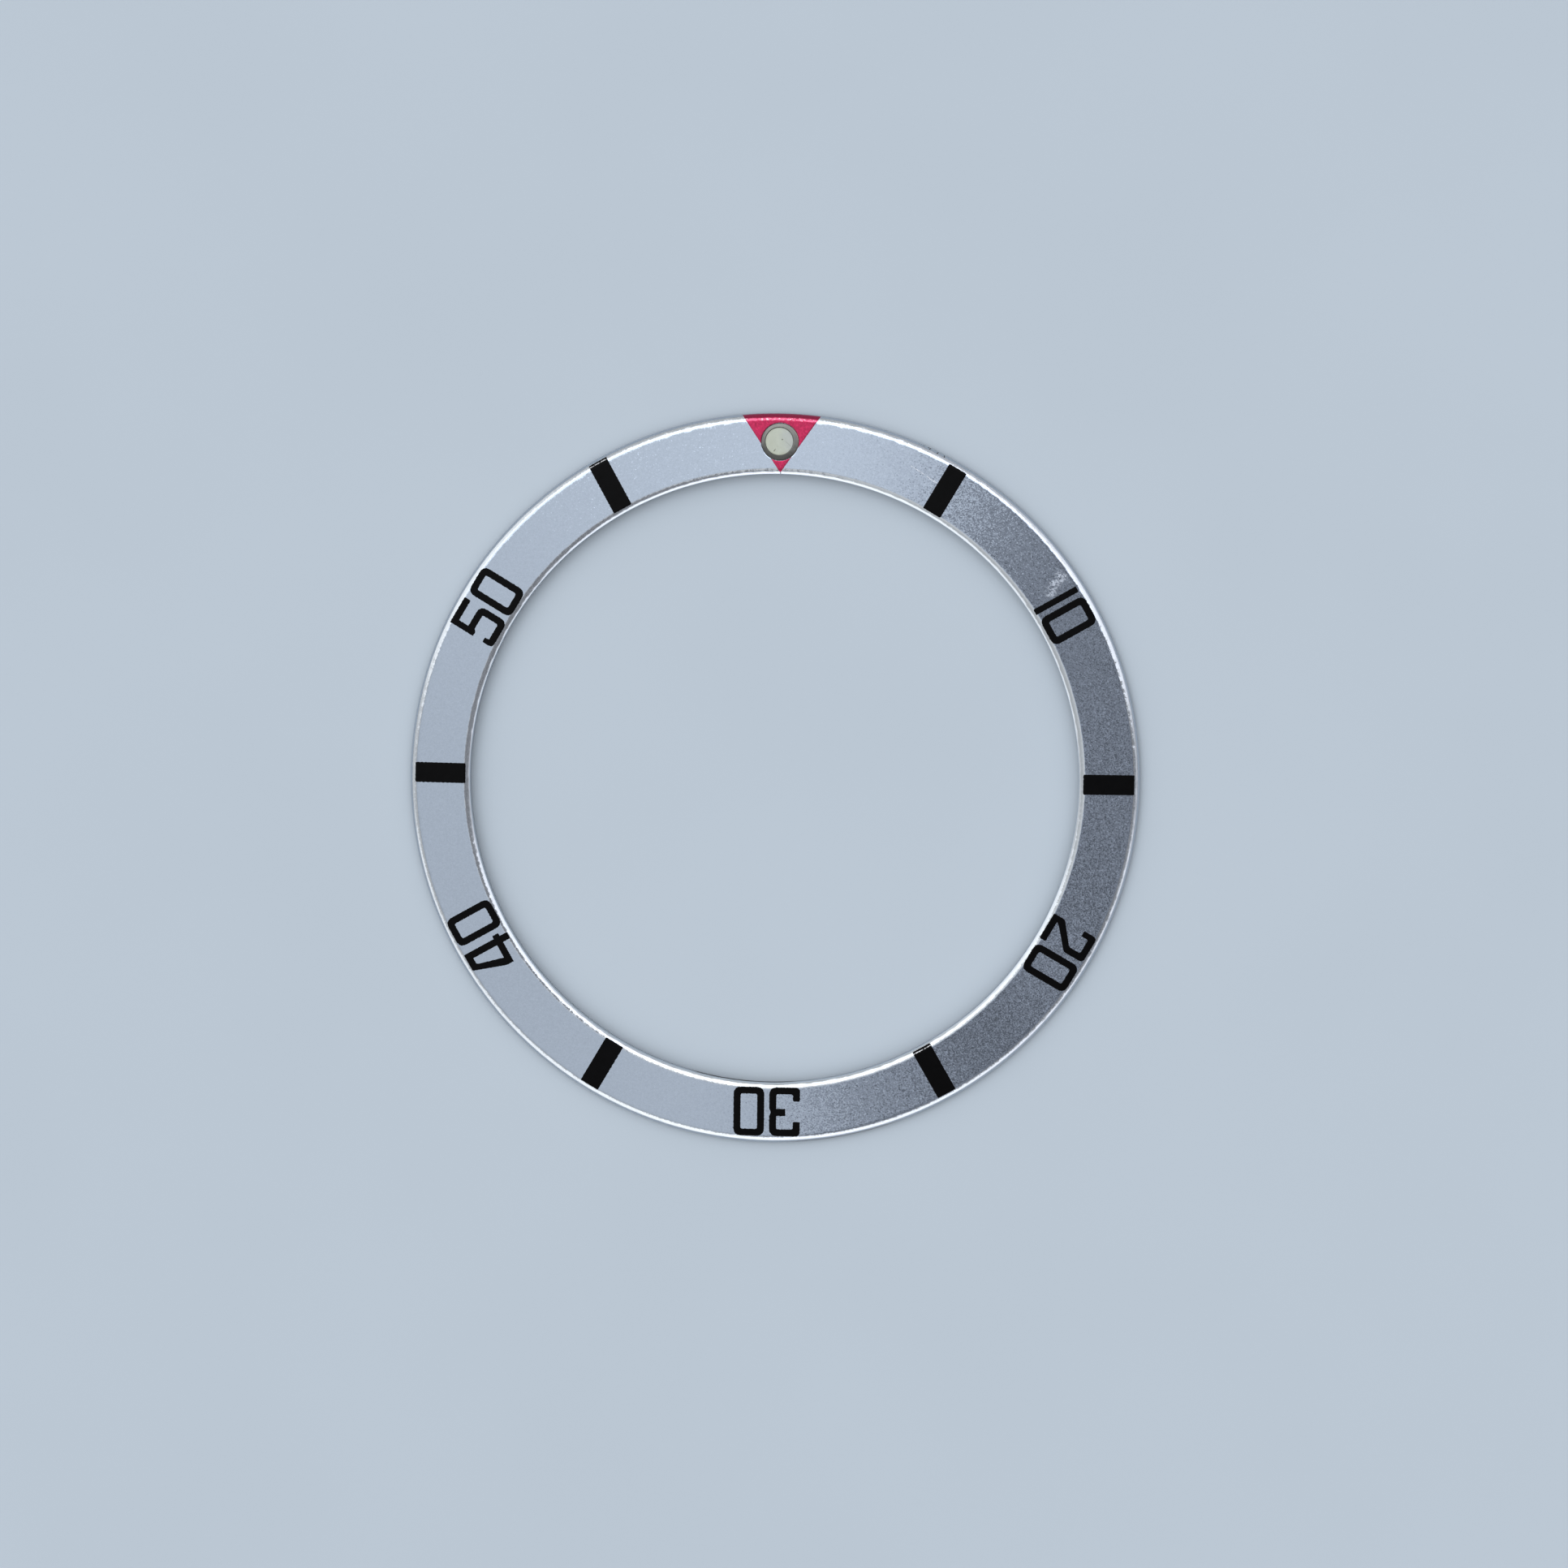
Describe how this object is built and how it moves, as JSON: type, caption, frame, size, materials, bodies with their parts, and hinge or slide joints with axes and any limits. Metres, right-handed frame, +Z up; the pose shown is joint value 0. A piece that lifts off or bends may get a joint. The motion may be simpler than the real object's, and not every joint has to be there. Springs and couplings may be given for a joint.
{
  "type": "watch bezel insert",
  "caption": "Sloped aluminium ring with printed minute bars and numerals, a red triangle and a lume pip in a metal cup, for the bezel of a diving watch.",
  "frame": {"origin": "centre of the ring's flat underside, which lies at z = 0", "axes": "+Z up, out of the printed face; +Y from the centre towards the red triangle and the pip at 12 o'clock; +X towards the bar at 3 o'clock"},
  "size_m": [0.038, 0.038, 0.001],
  "materials": {
    "insert_metal": "fine satin grain, polished bevels",
    "pip_metal": "turned, dulled grey steel",
    "lume": "aged cream-green luminous compound, slightly domed",
    "ink_black": "printed black ink, low sheen",
    "ink_red": "translucent crimson lacquer over metal"
  },
  "bodies": {
    "root": {"insert_ring": "insert_metal", "pip_cup": "pip_metal", "lume_fill": "lume", "red_triangle_head": "ink_red", "red_triangle_tip": "ink_red", "bar_05": "ink_black", "bar_15": "ink_black", "bar_25": "ink_black", "bar_35": "ink_black", "bar_45": "ink_black", "bar_55": "ink_black", "numeral_10_one": "ink_black", "numeral_10_zero": "ink_black", "numeral_20_two": "ink_black", "numeral_20_zero": "ink_black", "numeral_30_three": "ink_black", "numeral_30_zero": "ink_black", "numeral_40_four": "ink_black", "numeral_40_zero": "ink_black", "numeral_50_five": "ink_black", "numeral_50_zero": "ink_black"}
  },
  "joints": []
}
